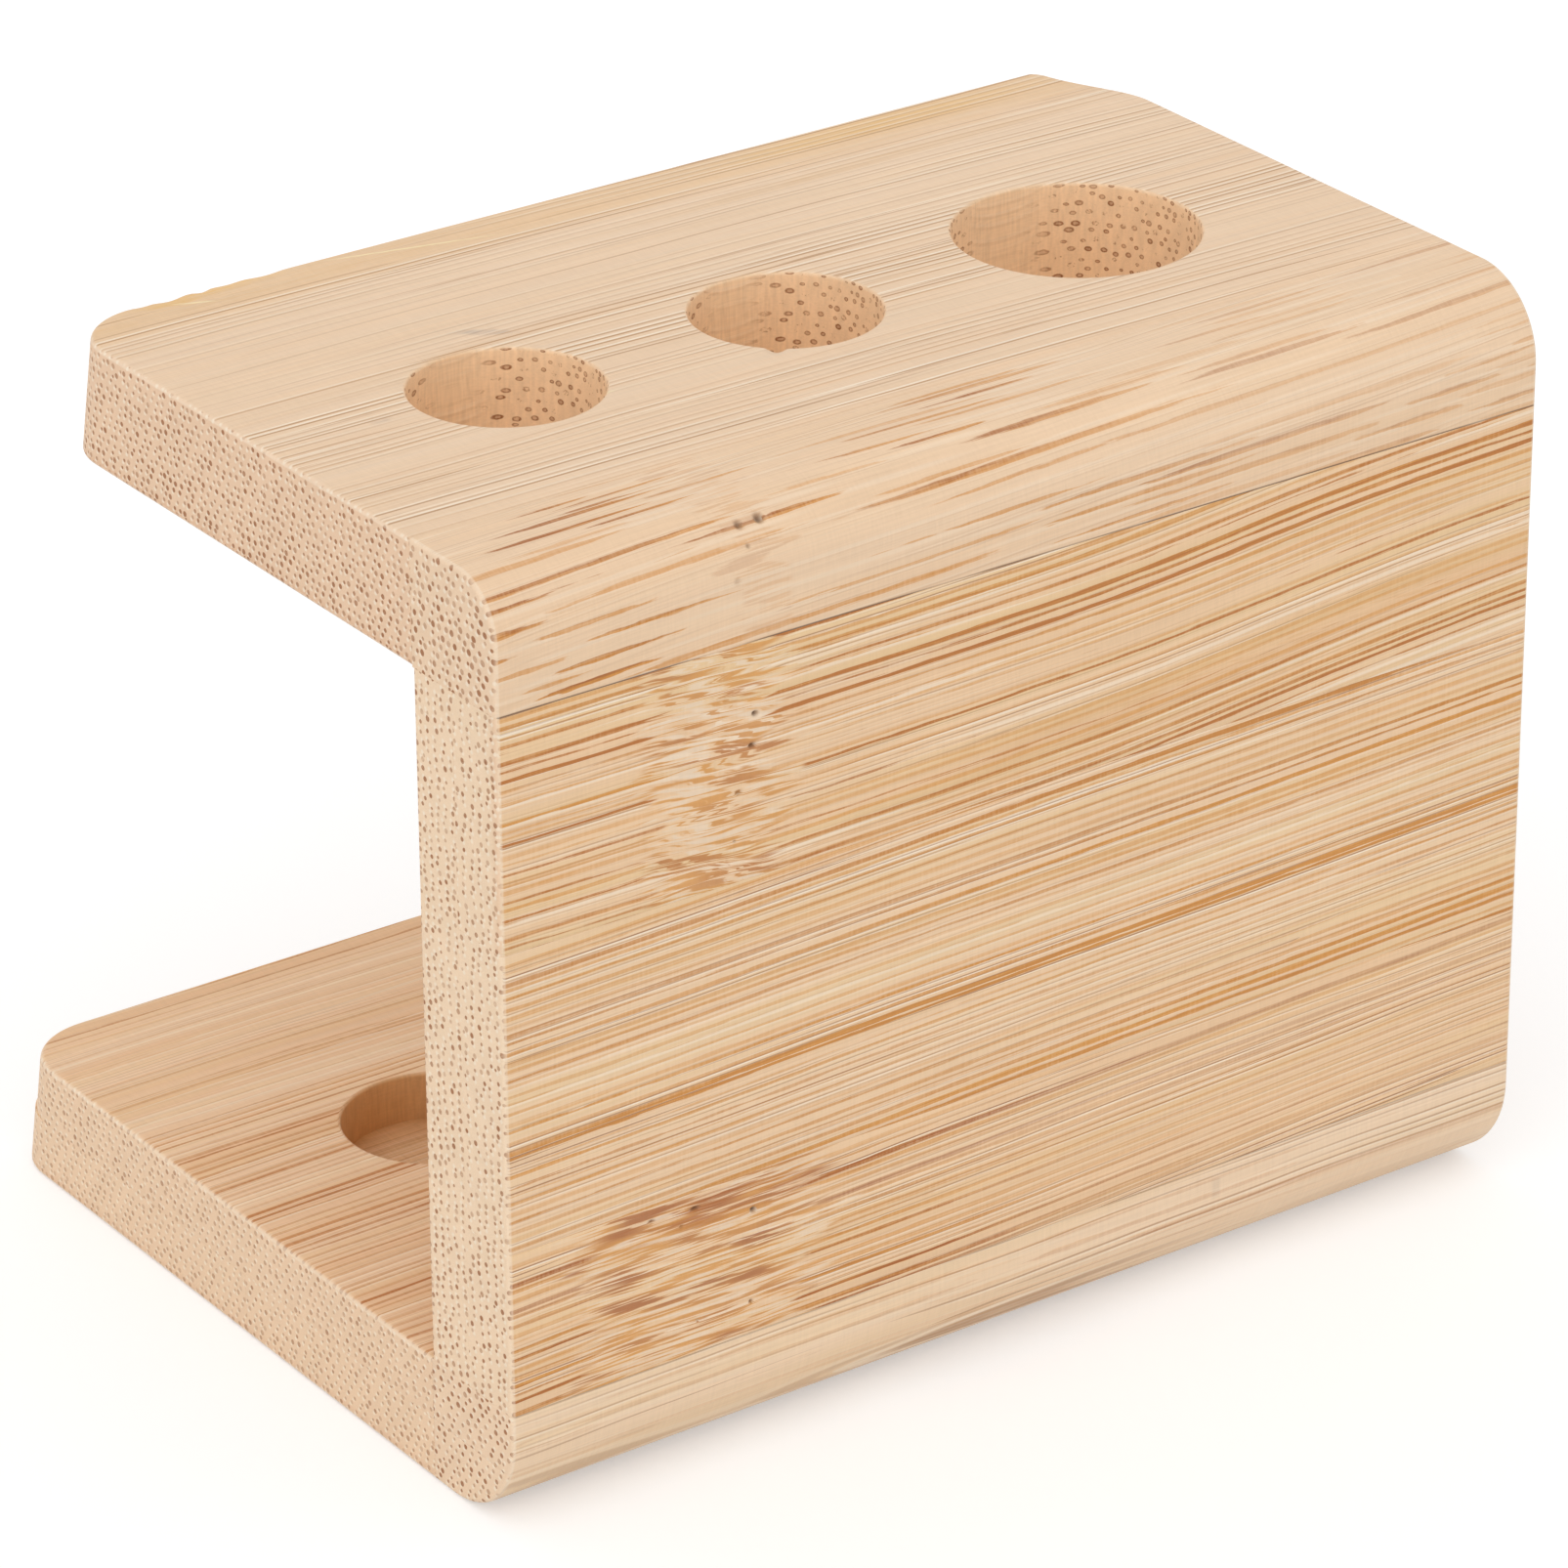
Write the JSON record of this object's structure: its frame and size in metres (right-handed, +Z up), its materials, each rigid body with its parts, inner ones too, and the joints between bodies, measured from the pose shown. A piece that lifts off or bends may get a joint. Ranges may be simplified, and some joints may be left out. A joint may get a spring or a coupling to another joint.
{
  "type": "toothbrush holder",
  "caption": "Free-standing bamboo toothbrush stand: a bored top shelf on an upright over a deeper base with shallow seats, glued up from boards with rounded edges.",
  "frame": {"origin": "middle of the footprint, on the surface that the stand rests on", "axes": "+X along the grain and the row of bores, towards the large bore; +Y towards the open side, away from the upright; +Z up"},
  "size_m": [0.1, 0.0782, 0.081],
  "materials": {
    "shelf_bamboo": "fine sanded, unvarnished pale bamboo",
    "strip_bamboo": "fine sanded, unvarnished pale bamboo",
    "upright_bamboo": "fine sanded bamboo with orange-brown fibre lines",
    "base_bamboo": "fine sanded bamboo with red-brown fibre lines"
  },
  "bodies": {
    "root": {"top_shelf": "shelf_bamboo", "top_edge_strip": "strip_bamboo", "upright_upper_slat": "upright_bamboo", "upright_middle_slat": "upright_bamboo", "upright_lower_slat": "upright_bamboo", "upright_inner_ply": "upright_bamboo", "base_upper_front_slat": "base_bamboo", "base_upper_rear_slat": "base_bamboo", "base_lower_front_slat": "base_bamboo", "base_lower_rear_slat": "base_bamboo", "base_strip_upper_ply": "strip_bamboo", "base_strip_lower_ply": "strip_bamboo"}
  },
  "joints": []
}
